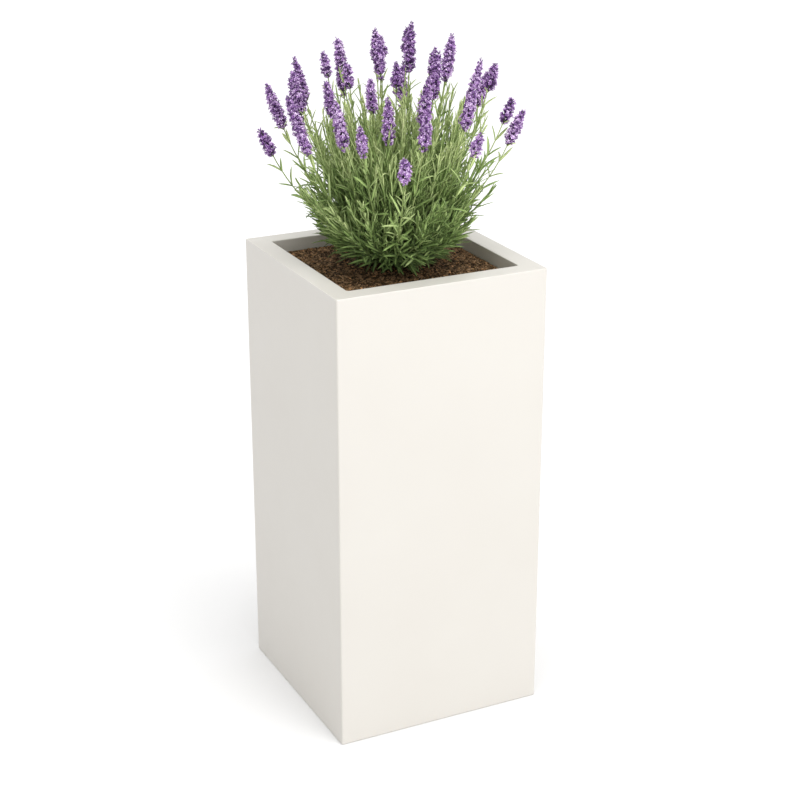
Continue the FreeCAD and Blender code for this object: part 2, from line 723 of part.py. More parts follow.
for item in doc.Objects:
    if {"Invalid", "Error"} & set(item.State):
        raise RuntimeError(f"{item.Label} did not compute: {item.State}")

for part in subparts:
    if part.Shape.isNull() or not part.Shape.isValid():
        raise RuntimeError(f"{part.Label} has no valid shape")

os.makedirs("parts", exist_ok=True)
for part in subparts:
    part.Shape.exportStep(f"parts/{part.Label}.step")
    print(f"{part.Label}: {len(part.Shape.Solids)} solids, {part.Shape.Volume / 1000:.1f} cm3")
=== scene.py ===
# %% [markdown]
# # A tall square planter of lavender
# The object is a cream fibreglass planter, 380 mm square and 800 mm tall, planted with lavender that stands
# about 405 mm over the soil. The rigid pieces come from the CAD model and only need finishes. The soil and the
# plant come from it as plain solids, and this lesson gives each of them the form that the eye expects:
# crumbs, old wood, narrow leaves, thin stalks and whorls of small flowers.
#
# Everything is in metres. +Z is up, -Y is the front, and the planter's foot is centred on the origin.

# %% Load the frame
import math

import bpy
import numpy as np
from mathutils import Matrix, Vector, noise


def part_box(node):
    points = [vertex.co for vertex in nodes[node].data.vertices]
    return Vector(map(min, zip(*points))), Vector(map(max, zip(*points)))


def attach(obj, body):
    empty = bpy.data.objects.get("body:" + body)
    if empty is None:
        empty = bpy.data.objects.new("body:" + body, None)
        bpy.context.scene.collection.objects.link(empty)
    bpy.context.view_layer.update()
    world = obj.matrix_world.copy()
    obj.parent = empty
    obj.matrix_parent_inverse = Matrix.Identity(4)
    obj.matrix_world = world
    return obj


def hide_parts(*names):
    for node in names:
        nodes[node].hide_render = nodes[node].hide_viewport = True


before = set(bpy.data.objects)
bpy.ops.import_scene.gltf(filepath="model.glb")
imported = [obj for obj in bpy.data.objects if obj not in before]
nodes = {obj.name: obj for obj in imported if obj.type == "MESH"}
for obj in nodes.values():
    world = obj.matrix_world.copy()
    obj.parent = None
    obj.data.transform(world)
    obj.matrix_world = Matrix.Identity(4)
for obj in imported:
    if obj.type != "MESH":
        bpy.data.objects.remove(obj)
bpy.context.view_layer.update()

# %% [markdown]
# ## Levels taken from the frame
# A level that two pieces share is read from the frame and not typed again. The soil's surface and the rim
# follow the CAD solids, so a change there moves the looks as well.

# %% Levels
soil_low, soil_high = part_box("potting_soil")
SOIL_LEVEL = soil_high.z
RIM_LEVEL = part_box("shell")[1].z
print("soil at", round(SOIL_LEVEL, 3), "rim at", round(RIM_LEVEL, 3))

# %% [markdown]
# ## How finishes are written
# A finish is a small graph: patterns go in, and a colour, a roughness and a relief come out. Three helpers keep
# it short. One adds a node and links or sets its inputs, one starts a material with the values that are the
# same all over, and one feeds a socket of the shader.

# %% Node helpers

def add_node(tree, kind, inputs=None, **settings):
    """Adds one node. An input that is another node's output is linked, and any other value is set."""
    node = tree.nodes.new(kind)
    for key, value in settings.items():
        setattr(node, key, value)
    for key, value in (inputs or {}).items():
        if isinstance(value, bpy.types.NodeSocket):
            tree.links.new(value, node.inputs[key])
        else:
            node.inputs[key].default_value = value
    return node


def new_finish(name, **uniform):
    """A material and its tree and shader. Values that are the same all over go on the shader's own sockets."""
    material = bpy.data.materials.new(name)
    material.use_nodes = True
    shader = material.node_tree.nodes["Principled BSDF"]
    for socket, value in uniform.items():
        shader.inputs[socket.replace("_", " ")].default_value = value
    return material, material.node_tree, shader


def set_input(tree, shader, socket, output):
    """Feeds one of the shader's sockets from a node."""
    tree.links.new(output, shader.inputs[socket])


print("helpers", [helper.__name__ for helper in (add_node, new_finish, set_input)])

# %% [markdown]
# ## The studio floor
# A product picture of a pale object on white needs a floor that burns out to white and a shadow that only
# just shows. The paper glows a little away from the planter, which keeps the backdrop white and leaves the
# faint shadow at the foot. The floor reaches far, so that its end shows only from low down, and the white world
# fills the shaded sides.

# %% Floor and world
scene = bpy.context.scene
scene.view_settings.view_transform = "Standard"
scene.view_settings.look = "None"
FLOOR_REACH = 45
FLOOR_LEVEL = -0.0004
GLOW_NEAR, GLOW_FAR = 0.7, 4.0
floor_mesh = bpy.data.meshes.new("studio_floor")
floor_corners = [(x * FLOOR_REACH, y * FLOOR_REACH, FLOOR_LEVEL) for x, y in ((-1, -1), (1, -1), (1, 1), (-1, 1))]
floor_mesh.from_pydata(floor_corners, [], [(0, 1, 2, 3)])
floor = bpy.data.objects.new("studio_floor", floor_mesh)
scene.collection.objects.link(floor)
paper, tree, shader = new_finish("studio_paper", Roughness=0.9, Specular_IOR_Level=0.1)
grain = add_node(tree, "ShaderNodeTexNoise", {"Scale": 3.0, "Detail": 2.0})
tone = add_node(tree, "ShaderNodeMapRange", {"Value": grain.outputs["Fac"], "To Min": 0.85, "To Max": 0.87})
set_input(tree, shader, "Base Color", tone.outputs["Result"])
spot = add_node(tree, "ShaderNodeTexCoord").outputs["Object"]
away = add_node(tree, "ShaderNodeVectorMath", {0: spot}, operation="LENGTH").outputs["Value"]
glow_inputs = {"Value": away, "From Min": GLOW_NEAR, "From Max": GLOW_FAR, "To Min": 0.0, "To Max": 0.3}
glow = add_node(tree, "ShaderNodeMapRange", glow_inputs, interpolation_type="SMOOTHSTEP")
shader.inputs["Emission Color"].default_value = (1, 1, 1, 1)
set_input(tree, shader, "Emission Strength", glow.outputs["Result"])
floor_mesh.materials.append(paper)

world = bpy.data.worlds.new("studio_world")
world.use_nodes = True
world.node_tree.nodes["Background"].inputs["Color"].default_value = (1, 1, 1, 1)
world.node_tree.nodes["Background"].inputs["Strength"].default_value = 0.9
scene.world = world
print("floor", FLOOR_REACH * 2, "m wide")

# %% [markdown]
# ## Lamps
# A wide low lamp at the front lights the front face evenly from rim to foot, so it is the brightest and the
# left face falls a step darker. A high one to the right models the leaves, and one overhead brings the rim up
# to the front face's tone. All are wide, because a narrow lamp would throw a hard shadow of the bush.

# %% Lamps


def soft_light(name, place, aim, size, power):
    """A square lamp that faces a point."""
    lamp = bpy.data.lights.new(name, "AREA")
    lamp.shape = "SQUARE"
    lamp.size = size
    lamp.energy = power
    obj = bpy.data.objects.new(name, lamp)
    obj.location = place
    obj.rotation_euler = (Vector(place) - Vector(aim)).to_track_quat("Z", "Y").to_euler()
    scene.collection.objects.link(obj)
    return obj


soft_light("front_light", (1.4, -5.3, 0.9), (0, 0, 0.3), size=2.4, power=104)
soft_light("high_light", (1.6, -2.6, 5.5), (0, 0, 0.6), size=3.2, power=70)
soft_light("top_light", (-0.3, -0.5, 4.2), (0, 0, 0.8), size=1.6, power=58)

# %% [markdown]
# ## Camera
# The camera stands to the front left, a little over the rim, with a long lens that keeps the upright edges
# nearly parallel. Two angles, a distance and a target say where, so that each can be judged by itself.

# %% Camera
AZIMUTH = math.radians(-26.27)
ELEVATION = math.radians(21.34)
DISTANCE = 3.1366
right = Vector((math.cos(AZIMUTH), math.sin(AZIMUTH), 0))
back = Vector((math.sin(AZIMUTH) * math.cos(ELEVATION), -math.cos(AZIMUTH) * math.cos(ELEVATION), math.sin(ELEVATION)))
target = Vector((0, 0, 0.5346)) + right * 0.0127
lens = bpy.data.cameras.new("photo_camera")
lens.sensor_width = 36
lens.lens = 81.37
lens.clip_end = 150
camera = bpy.data.objects.new("photo_camera", lens)
camera.location = target + back * DISTANCE
camera.rotation_euler = back.to_track_quat("Z", "Y").to_euler()
scene.collection.objects.link(camera)
scene.camera = camera
print("camera at", [round(v, 3) for v in camera.location])

# %% [markdown]
# ## Gelcoat and raw laminate
# The shell is laid up in a mould. The mould side is a coloured gelcoat: satin, even, with the faintest ripple.
# The inside is bare laminate, where the glass strands show in the resin. One material serves both sides, and
# the place on the object decides which one is seen: whatever lies deeper than the walls' outer skin is bare.
# A mask by place stays put when the camera moves.

# %% Gelcoat


def object_place(tree):
    return add_node(tree, "ShaderNodeTexCoord").outputs["Object"]


def noise_tex(tree, place, scale, detail=4.0, roughness=0.5, **settings):
    inputs = {"Vector": place, "Scale": scale, "Detail": detail, "Roughness": roughness}
    return add_node(tree, "ShaderNodeTexNoise", inputs, **settings).outputs["Fac"]


def ramp(tree, factor, *stops):
    """A colour ramp through (position, colour) stops."""
    node = add_node(tree, "ShaderNodeValToRGB", {"Fac": factor})
    elements = node.color_ramp.elements
    while len(elements) < len(stops):
        elements.new(0.5)
    for element, (position, colour) in zip(elements, stops):
        element.position = position
        element.color = (*colour, 1)
    return node.outputs["Color"]


def mix(tree, factor, first, second, blend="MIX"):
    """Two colours mixed by a factor."""
    node = add_node(tree, "ShaderNodeMix", data_type="RGBA", blend_type=blend)
    for slot, value in ((0, factor), (6, first), (7, second)):
        if isinstance(value, bpy.types.NodeSocket):
            tree.links.new(value, node.inputs[slot])
        else:
            node.inputs[slot].default_value = value if slot == 0 else (*value, 1)
    return node.outputs[2]


def bump(tree, shader, height, strength, distance):
    inputs = {"Height": height, "Strength": strength, "Distance": distance}
    node = add_node(tree, "ShaderNodeBump", inputs)
    tree.links.new(node.outputs["Normal"], shader.inputs["Normal"])


def calc(tree, operation, first, second=0.0):
    """One step of arithmetic on numbers or outputs."""
    return add_node(tree, "ShaderNodeMath", {0: first, 1: second}, operation=operation).outputs["Value"]


def scaled(tree, factor, low, high):
    """A factor of 0 to 1 spread between two values."""
    return add_node(tree, "ShaderNodeMapRange", {"Value": factor, "To Min": low, "To Max": high}).outputs["Result"]


CREAM = (0.612, 0.588, 0.546)
CREAM_SHADE = (0.600, 0.574, 0.531)
RESIN = (0.60, 0.57, 0.44)
STRAND = (0.76, 0.74, 0.63)


def laminate_colour(tree, place):
    """Glass strands lie every way in a straw-coloured resin."""
    stretched = add_node(tree, "ShaderNodeMapping", {"Vector": place, "Scale": (1.0, 3.5, 1.4)}).outputs["Vector"]
    crossed = add_node(tree, "ShaderNodeMapping", {"Vector": place, "Scale": (3.2, 1.0, 2.1)}).outputs["Vector"]
    strands = noise_tex(tree, stretched, 60, 6.0, 0.65, noise_type="RIDGED_MULTIFRACTAL", normalize=True)
    others = noise_tex(tree, crossed, 52, 6.0, 0.65, noise_type="RIDGED_MULTIFRACTAL", normalize=True)
    both = calc(tree, "MAXIMUM", strands, others)
    return ramp(tree, both, (0.35, RESIN), (0.75, STRAND)), both


WALL_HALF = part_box("shell")[1].x
LIP_HALF = 0.157
LIP_LEVEL = 0.755
SKIN = 0.002


def inside_mask(tree, place, depth):
    """1 where a point lies deeper than the outer skin and below the rim, and 0 on the skin."""
    axes = add_node(tree, "ShaderNodeSeparateXYZ", {"Vector": place})
    widest = calc(tree, "MAXIMUM", calc(tree, "ABSOLUTE", axes.outputs["X"]), calc(tree, "ABSOLUTE", axes.outputs["Y"]))
    deep = calc(tree, "LESS_THAN", widest, WALL_HALF - depth)
    behind_lip = calc(tree, "GREATER_THAN", widest, LIP_HALF)
    below_rim = calc(tree, "LESS_THAN", axes.outputs["Z"], RIM_LEVEL - depth)
    below_lip = calc(tree, "LESS_THAN", axes.outputs["Z"], LIP_LEVEL)
    hidden = calc(tree, "MAXIMUM", behind_lip, below_lip)
    return calc(tree, "MULTIPLY", calc(tree, "MULTIPLY", deep, below_rim), hidden)


gelcoat, tree, shader = new_finish("cream_gelcoat", Specular_IOR_Level=0.5, Coat_Roughness=0.2)
shader.inputs["Coat Weight"].default_value = 0.12
place = object_place(tree)
cloud = noise_tex(tree, place, 5.0, 3.0)
cream = ramp(tree, cloud, (0.3, CREAM_SHADE), (0.7, CREAM))
raw, strands = laminate_colour(tree, place)
inside = inside_mask(tree, place, SKIN)
set_input(tree, shader, "Base Color", mix(tree, inside, cream, raw))
satin = scaled(tree, noise_tex(tree, place, 34, 3.0), 0.36, 0.46)
rough = add_node(tree, "ShaderNodeMix", {0: inside, 2: satin, 3: 0.62}).outputs[0]
set_input(tree, shader, "Roughness", rough)
ripple = calc(tree, "MULTIPLY", noise_tex(tree, place, 190, 2.0), 0.12)
relief = add_node(tree, "ShaderNodeMix", {0: inside, 2: ripple, 3: strands}).outputs[0]
bump(tree, shader, relief, 0.35, 0.0006)


def dress(node, material):
    """Gives a carried-over CAD piece its finish."""
    mesh = nodes[node].data
    mesh.materials.clear()
    mesh.materials.append(material)


dress("shell", gelcoat)
print("gelcoat nodes", len(gelcoat.node_tree.nodes))

# %% [markdown]
# ## Bare laminate
# The base tray and the ledges are the same laminate with no gelcoat: straw-coloured resin over glass strands
# that catch the light. They show only when the shelf and the liner are lifted out.

# %% Bare laminate
laminate, tree, shader = new_finish("raw_laminate", Specular_IOR_Level=0.5)
place = object_place(tree)
raw, strands = laminate_colour(tree, place)
set_input(tree, shader, "Base Color", raw)
set_input(tree, shader, "Roughness", scaled(tree, strands, 0.7, 0.45))
bump(tree, shader, strands, 0.4, 0.0006)
for node in nodes:
    if node == "base_panel" or node.startswith("shelf_ledge"):
        dress(node, laminate)
print("laminate on", sum(o.data.materials[0] == laminate for o in nodes.values() if o.data.materials))

# %% [markdown]
# ## Rubber, board and liner plastic
# The bung is matt rubber with moulding dust, the shelf a dark plastic board with a fine pebbled grain, and the
# liner a black plastic tub that looks greyer where it is scuffed. All three are one recipe with other tones.

# %% Rubber, board and liner plastic


def moulded(name, dark, pale, grain_scale, rough_low, rough_high, depth):
    """A moulded plastic or rubber: two near tones, a fine grain and uneven gloss."""
    material, tree, shader = new_finish(name, Specular_IOR_Level=0.4)
    place = object_place(tree)
    wear = noise_tex(tree, place, 14, 6.0, 0.6)
    set_input(tree, shader, "Base Color", ramp(tree, wear, (0.35, dark), (0.75, pale)))
    grain = noise_tex(tree, place, grain_scale, 3.0)
    set_input(tree, shader, "Roughness", scaled(tree, grain, rough_low, rough_high))
    bump(tree, shader, grain, 0.5, depth)
    return material


rubber = moulded("plug_rubber", (0.012, 0.012, 0.013), (0.05, 0.048, 0.046), 420, 0.62, 0.85, 0.0003)
board = moulded("shelf_board", (0.035, 0.036, 0.038), (0.075, 0.075, 0.078), 300, 0.5, 0.7, 0.0005)
tub = moulded("liner_plastic", (0.008, 0.008, 0.009), (0.028, 0.028, 0.03), 240, 0.38, 0.6, 0.0003)
for node, material in (("drain_plug", rubber), ("shelf", board), ("liner", tub)):
    dress(node, material)
print("moulded finishes", 3)

# %% [markdown]
# ## Drainage layer, fleece and root ball
# Cells with painted shade in the seams between them read as round clay pebbles, a fine ridged noise as felt, and the
# same noise drawn out upwards as roots. These pieces fill the liner and stay plain solids, since the liner and the soil
# hide them.

# %% Drainage layer, fleece and root ball
pebble, tree, shader = new_finish("clay_pebbles", Specular_IOR_Level=0.3)
place = object_place(tree)
cells = add_node(tree, "ShaderNodeTexVoronoi", {"Vector": place, "Scale": 85.0}, feature="F1")
clay = ramp(tree, cells.outputs["Color"], (0.2, (0.22, 0.09, 0.045)), (0.8, (0.42, 0.2, 0.11)))
# painted shade: each pebble darkens towards the seams where it meets its neighbours
seam_shade = ramp(tree, cells.outputs["Distance"], (0.25, (1, 1, 1)), (0.6, (0.12, 0.1, 0.09)))
set_input(tree, shader, "Base Color", mix(tree, 1.0, clay, seam_shade, "MULTIPLY"))
set_input(tree, shader, "Roughness", scaled(tree, cells.outputs["Distance"], 0.75, 0.95))
bump(tree, shader, calc(tree, "SUBTRACT", 1.0, cells.outputs["Distance"]), 1.0, 0.006)
dress("drainage_pebbles", pebble)

felt, tree, shader = new_finish("fleece", Specular_IOR_Level=0.2)
place = object_place(tree)
fibre = noise_tex(tree, place, 380, 6.0, 0.7, noise_type="RIDGED_MULTIFRACTAL", normalize=True)
set_input(tree, shader, "Base Color", ramp(tree, fibre, (0.3, (0.30, 0.30, 0.28)), (0.7, (0.55, 0.54, 0.50))))
set_input(tree, shader, "Roughness", scaled(tree, fibre, 0.98, 0.85))
bump(tree, shader, fibre, 0.6, 0.0008)
dress("filter_fleece", felt)

roots, tree, shader = new_finish("roots_and_soil", Specular_IOR_Level=0.2)
place = object_place(tree)
warped = add_node(tree, "ShaderNodeMapping", {"Vector": place, "Scale": (1.0, 1.0, 0.45)}).outputs["Vector"]
strand = noise_tex(tree, warped, 70, 8.0, 0.7, noise_type="RIDGED_MULTIFRACTAL", normalize=True)
set_input(tree, shader, "Base Color", ramp(tree, strand, (0.5, (0.035, 0.02, 0.012)), (0.8, (0.33, 0.25, 0.16))))
set_input(tree, shader, "Roughness", scaled(tree, strand, 0.95, 0.75))
bump(tree, shader, strand, 0.8, 0.002)
dress("root_ball", roots)
print("hidden fillings finished", [finish.name for finish in (pebble, felt, roots)])

# %% [markdown]
# ## How pieces are put together
# A plant is a few forms repeated thousands of times. Each form is written once as corner points and faces,
# and numpy places all the copies at once, which is far quicker than one Blender object a leaf. The copies are
# joined into one mesh, which rides on the body `planting` and lifts out with the liner. A number from 0 to 1
# is kept on every point as `tint`, so that a material can make each leaf differ a little from its neighbour.

# %% Build a piece from many copies
SEED = 20
rng = np.random.default_rng(SEED)


def build_piece(name, parts, finish, slot, smooth=True, replaces=(), ribs=None):
    """One object from parts of (points, faces, tint), riding on the planting. ribs marks each copy's midrib."""
    points, faces, tints, start = [], [], [], 0
    for part_points, part_faces, part_tint in parts:
        points.append(part_points)
        faces.extend(tuple(start + corner for corner in face) for face in part_faces)
        tints.append(np.broadcast_to(part_tint, len(part_points)))
        start += len(part_points)
    mesh = bpy.data.meshes.new(name)
    mesh.from_pydata(np.concatenate(points), [], faces)
    mesh.attributes.new("tint", "FLOAT", "POINT").data.foreach_set("value", np.concatenate(tints).astype(np.float32))
    if ribs is not None:
        mesh.attributes.new("rib", "FLOAT", "POINT").data.foreach_set("value", np.tile(ribs, len(parts)))
    mesh.polygons.foreach_set("use_smooth", np.full(len(mesh.polygons), smooth))
    mesh.materials.append(finish)
    mesh.validate()
    piece = bpy.data.objects.new(name, mesh)
    scene.collection.objects.link(piece)
    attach(piece, "planting")
    if replaces:
        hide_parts(*replaces)
    triangles = sum(len(p.vertices) - 2 for p in mesh.polygons)
    print(name, len(parts), "parts,", triangles, "triangles")
    return piece


def unit(vectors):
    """Vectors of length one."""
    return vectors / np.maximum(np.linalg.norm(vectors, axis=-1, keepdims=True), 1e-9)


def tube(path, radii, sides, tint=0.5):
    """A closed tube along points, with a radius at each. The rings are carried along without twisting."""
    path = np.asarray(path, float)
    radii = np.broadcast_to(radii, len(path))
    ahead = unit(np.gradient(path, axis=0))
    side = unit(np.cross(ahead[0], (0.3, 0.9, 0.31)))
    turns = np.linspace(0, 2 * math.pi, sides, endpoint=False)
    rings = []
    for point, way, radius in zip(path, ahead, radii):
        side = unit(side - way * np.dot(side, way))
        other = np.cross(way, side)
        rings.append(point + radius * (np.outer(np.cos(turns), side) + np.outer(np.sin(turns), other)))
    faces = []
    for ring in range(len(path) - 1):
        for corner in range(sides):
            low, high = ring * sides + corner, ring * sides + (corner + 1) % sides
            faces.append((low, high, high + sides, low + sides))
    faces.append(tuple(range(sides))[::-1])
    faces.append(tuple(range((len(path) - 1) * sides, len(path) * sides)))
    return np.concatenate(rings), faces, tint


print("random numbers start from seed", SEED)

# %% [markdown]
# ## Potting soil
# The soil is dark, damp and crumbly, with paler bits of bark. Small cells and a fine noise make the specks, a
# slow noise makes damp patches, and the tint of each crumb makes it paler or darker than the bed.

# %% Soil finish
compost, tree, shader = new_finish("soil", Specular_IOR_Level=0.1)
place = object_place(tree)
cells = add_node(tree, "ShaderNodeTexVoronoi", {"Vector": place, "Scale": 300.0}, feature="F1")
fine = noise_tex(tree, place, 520, 3.0, 0.6)
blotch = noise_tex(tree, place, 38, 4.0, 0.6)
speckle = mix(tree, 0.5, cells.outputs["Color"], fine)
dark = ramp(tree, speckle, (0.32, (0.018, 0.011, 0.004)), (0.5, (0.135, 0.080, 0.040)), (0.72, (0.50, 0.32, 0.19)))
damp = ramp(tree, blotch, (0.3, (0.62, 0.60, 0.58)), (0.7, (1.0, 1.0, 1.0)))
tint = add_node(tree, "ShaderNodeAttribute", attribute_name="tint").outputs["Fac"]
warm = ramp(tree, tint, (0.0, (0.42, 0.4, 0.38)), (0.6, (1.0, 0.98, 0.92)), (1.0, (1.8, 1.55, 1.25)))
damp_dark = mix(tree, 1.0, dark, damp, "MULTIPLY")
set_input(tree, shader, "Base Color", mix(tree, 1.0, damp_dark, warm, "MULTIPLY"))
set_input(tree, shader, "Roughness", scaled(tree, fine, 0.75, 0.98))
bump(tree, shader, fine, 0.6, 0.0012)
print("soil finish nodes", len(tree.nodes))

# %% [markdown]
# ## The soil's surface
# A flat plate with a bumpy material looks painted on at this distance, so the surface is a fine grid pushed up
# and down by four sizes of noise. The bed is one closed block that reaches down into the liner. Its corners
# are drawn in to a radius, because the liner's are round and square ones would stick out of them.

# %% Soil surface
MOUTH_HALF = 0.155
EDGE_GAP = 0.0035
SOIL_HALF = MOUTH_HALF - EDGE_GAP
SOIL_CORNER = 0.016
GRID = 176


def soil_height(x, y):
    """The loose surface: slow heaps, clods of a fingertip's size, and grains, never below the CAD soil."""
    heap = 0.5 + 0.5 * noise.noise(Vector((x * 14, y * 14, 3.1)))
    clod = 0.5 + 0.5 * noise.noise(Vector((x * 75, y * 75, 7.7)))
    grain = noise.voronoi(Vector((x * 290, y * 290, 1.3)))[0][0]
    small = 0.5 + 0.5 * noise.noise(Vector((x * 520, y * 520, 5.2)))
    collar = math.exp(-((x * x + y * y) / 0.0022))
    return 0.0004 + 0.0016 * heap + 0.0014 * clod + 0.0021 * (0.75 - min(grain, 0.75)) + 0.0007 * small + 0.003 * collar


def rounded(x, y):
    """Draws the corners of the square bed in to a radius, so that they stay inside the liner's round corners."""
    straight = SOIL_HALF - SOIL_CORNER
    over_x, over_y = abs(x) - straight, abs(y) - straight
    if min(over_x, over_y) <= 0:
        return x, y
    draw = max(over_x, over_y) / math.hypot(over_x, over_y)
    return math.copysign(straight + over_x * draw, x), math.copysign(straight + over_y * draw, y)


def soil_bed():
    """The grid, its sides down to the fleece and the floor under them."""
    steps = np.linspace(-SOIL_HALF, SOIL_HALF, GRID + 1)
    count = GRID + 1
    places = [rounded(x, y) for y in steps for x in steps]
    points = [(x, y, SOIL_LEVEL + soil_height(x, y)) for x, y in places]
    faces = []
    for row in range(GRID):
        for column in range(GRID):
            corner = row * count + column
            faces.append((corner, corner + 1, corner + 1 + count, corner + count))
    border = [column for column in range(GRID)]
    border += [row * count + GRID for row in range(GRID)]
    border += [GRID * count + column for column in range(GRID, 0, -1)]
    border += [row * count for row in range(GRID, 0, -1)]
    levels = ((0.0, 1.0), (-0.0035, 0.995), (-0.0042, 0.935), (soil_low.z - SOIL_LEVEL + 0.0005, 0.905))
    previous = border
    for drop, share in levels:
        start = len(points)
        points += [(points[i][0] * share, points[i][1] * share, SOIL_LEVEL + drop) for i in border]
        ring = list(range(start, start + len(border)))
        for here in range(len(border)):
            there = (here + 1) % len(border)
            faces.append((previous[there], previous[here], ring[here], ring[there]))
        previous = ring
    faces.append(tuple(previous[::-1]))
    return np.array(points), faces, 0.5


build_piece("soil_bed", [soil_bed()], compost, "soil", replaces=["potting_soil"])

# %% [markdown]
# ## Loose crumbs and bark chips
# Real grains lie on the bed and catch the light one by one. Most are round crumbs, and some are flat, longer
# chips of bark. Each is one small lump, stretched, leaned and turned by chance and half sunk in the surface.

# %% Loose crumbs and bark chips


def chunk_form():
    """A squat lump of twenty faces: a five-sided drum with a point over and under it."""
    turns = np.arange(5) * 2 * math.pi / 5
    low = np.stack([np.cos(turns), np.sin(turns), np.full(5, -0.35)], 1)
    high = np.stack([np.cos(turns + 0.63), np.sin(turns + 0.63), np.full(5, 0.4)], 1)
    points = np.concatenate([low, high * (0.85, 0.85, 1), [(0, 0, -0.8), (0, 0, 0.85)]])
    faces = []
    for i in range(5):
        j = (i + 1) % 5
        faces += [(i, j, 5 + i), (j, 5 + j, 5 + i), (j, i, 10), (5 + i, 5 + j, 11)]
    return points, faces


def scatter_chunks(count, sizes, flatness, stretch):
    """Lumps of random size and turn, each half sunk in the surface."""
    form, faces = chunk_form()
    parts = []
    for _ in range(count):
        x, y = rounded(*rng.uniform(-SOIL_HALF + 0.003, SOIL_HALF - 0.003, 2))
        size = rng.uniform(*sizes)
        shape = form * (1 + 0.28 * rng.uniform(-1, 1, form.shape)) * (stretch, 1, flatness) * size
        turn, lean = rng.uniform(0, 2 * math.pi), rng.uniform(-0.5, 0.5)
        cos, sin = math.cos(turn), math.sin(turn)
        lean_cos, lean_sin = math.cos(lean), math.sin(lean)
        leaned = shape @ np.array([(lean_cos, 0, lean_sin), (0, 1, 0), (-lean_sin, 0, lean_cos)])
        spun = leaned @ np.array([(cos, sin, 0), (-sin, cos, 0), (0, 0, 1)])
        spun += (x, y, SOIL_LEVEL + soil_height(x, y) + 0.15 * size)
        parts.append((spun, faces, rng.uniform(0, 1)))
    return parts


crumbs = scatter_chunks(2300, (0.0009, 0.0023), flatness=0.8, stretch=1.15)
crumbs += scatter_chunks(420, (0.0016, 0.0032), flatness=0.42, stretch=1.9)
build_piece("soil_crumbs", crumbs, compost, "soil", smooth=False)

# %% [markdown]
# ## Where the plant grows
# Lavender is a fan. Every shoot starts in the old wood at the middle, leans out and then bends up. The golden
# turn spreads the shoots evenly without rows. Each shoot is a curve through three places: its start in the
# crown, a bend, and its tip on the mound's outline.

# %% Shoot paths
CROWN_LEVEL = SOIL_LEVEL + 0.012
GOLDEN_TURN = math.pi * (3 - math.sqrt(5))
BOW_OUT = 0.10
SAG = 0.07


def curve(start, bend, end, share):
    """Points on the curve that leaves start towards bend and arrives at end from it."""
    share = np.asarray(share)[:, None]
    return start * (1 - share) ** 2 + bend * 2 * share * (1 - share) + end * share**2


def mound_outline():
    """The CAD mound's outline as angles above level, seen from the crown, and distances."""
    corners = np.array([vertex.co for vertex in nodes["foliage"].data.vertices])
    reach = np.hypot(corners[:, 0], corners[:, 1])
    levels = np.unique(np.round(corners[:, 2], 4))
    widest = [(reach[np.abs(corners[:, 2] - level) < 0.0002].max(), level - CROWN_LEVEL) for level in levels]
    rings = [(math.degrees(math.atan2(rise, wide)), math.hypot(rise, wide)) for wide, rise in widest if wide > 0.03]
    rings = sorted(ring for ring in rings if ring[0] > 0)
    return np.array(rings).T


RISES, DISTANCES = mound_outline()


def tip_distance(rise):
    """How far from the crown the mound's outline lies, at an angle above level, in degrees."""
    return np.interp(rise, RISES, DISTANCES)


def grow_shoots(count, low, high, shortest, longest, turn=0.0):
    """Curves from the crown to the outline, spread over the dome between two angles."""
    shoots = []
    sine_low, sine_high = math.sin(math.radians(low)), math.sin(math.radians(high))
    for index in range(count):
        share = (index + 0.5) / count
        rise = math.degrees(math.asin(sine_low + share * (sine_high - sine_low)))
        bearing = turn + index * GOLDEN_TURN + rng.normal(0, 0.06)
        distance = tip_distance(rise) * rng.uniform(shortest, longest)
        out = np.array((math.cos(bearing), math.sin(bearing), 0))
        up = np.array((0, 0, 1.0))
        angle = math.radians(rise)
        start = out * rng.uniform(0.004, 0.024) + up * CROWN_LEVEL
        end = out * distance * math.cos(angle) + up * (CROWN_LEVEL + distance * math.sin(angle))
        sideways = np.cross(up, out) * rng.normal(0, 0.012)
        outward = out * BOW_OUT * distance * math.sin(2 * angle)
        bend = start + (end - start) * 0.5 + outward - up * SAG * distance + sideways
        shoots.append((start, bend, end))
    return shoots


skirt = grow_shoots(24, low=14, high=34, shortest=0.42, longest=1.0)
body = grow_shoots(165, low=22, high=70, shortest=0.82, longest=1.1, turn=0.4)
crest = grow_shoots(70, low=52, high=90, shortest=0.8, longest=1.05, turn=1.1)
print("shoots", len(skirt) + len(body) + len(crest))

# %% [markdown]
# ## Leaves
# A lavender leaf is narrow, 25 to 50 mm long and about 4 mm wide, folded a little along its midrib, felted
# grey-green above and paler along the rib. A flat card would show its thinness and have no rib, so each leaf
# here is a thin closed blade with a V-shaped section at four stations and a point. It bends in one arc. The
# leaves stand in pairs on the shoot, each pair turned a quarter from the last.

# %% Leaf form
LEAF_STATIONS = np.array([(0.0, 0.34), (0.2, 0.8), (0.5, 1.0), (0.8, 0.66)])
LEAF_THICKNESS = 0.00045
LEAF_FOLD = 0.55


def leaf_faces():
    """The blade's sides, the facets of its point, and the cap at its foot."""
    faces = []
    for station in range(3):
        for corner in range(4):
            low, high = station * 4 + corner, station * 4 + (corner + 1) % 4
            faces.append((low, high, high + 4, low + 4))
    faces += [(12 + corner, 12 + (corner + 1) % 4, 16) for corner in range(4)]
    faces.append((3, 2, 1, 0))
    return faces


LEAF_FACES = leaf_faces()
LEAF_RIBS = np.array([0, 1, 0, 1] * 4 + [0.4], np.float32)


